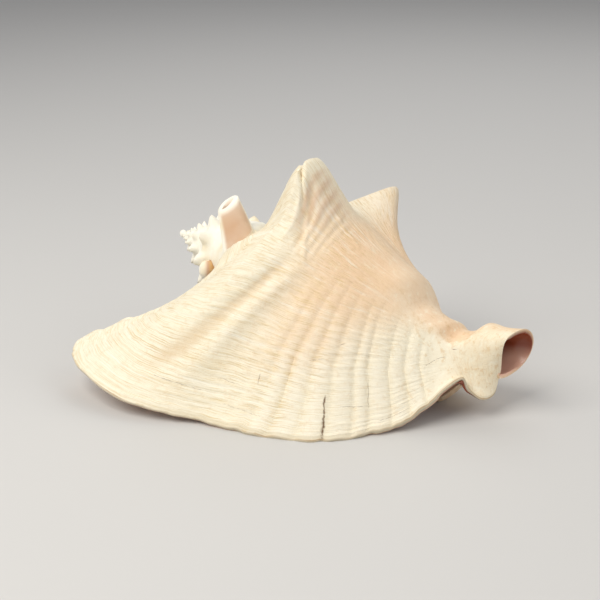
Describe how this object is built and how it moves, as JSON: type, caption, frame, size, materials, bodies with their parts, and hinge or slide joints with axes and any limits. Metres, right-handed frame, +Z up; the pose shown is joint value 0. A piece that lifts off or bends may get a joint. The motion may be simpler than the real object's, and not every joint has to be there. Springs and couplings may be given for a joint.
{
  "type": "queen conch shell",
  "caption": "Large spiral sea shell with a knobbed spire, tall blunt shoulder spines, a wide flared lip over a hollow aperture and an open canal at its front end.",
  "frame": {"origin": "centre of the bounding box's bottom face, in the plane of the surface that the shell rests on", "axes": "+X from the spire's apex towards the canal's end, -Y towards the flared lip's front edge, +Z up from the resting surface"},
  "size_m": [0.2228, 0.153, 0.1213],
  "materials": {
    "shell": "chalky cream with peach bands outside, glossy pink inside the aperture"
  },
  "bodies": {
    "root": {"conch_shell": "shell"}
  },
  "joints": []
}
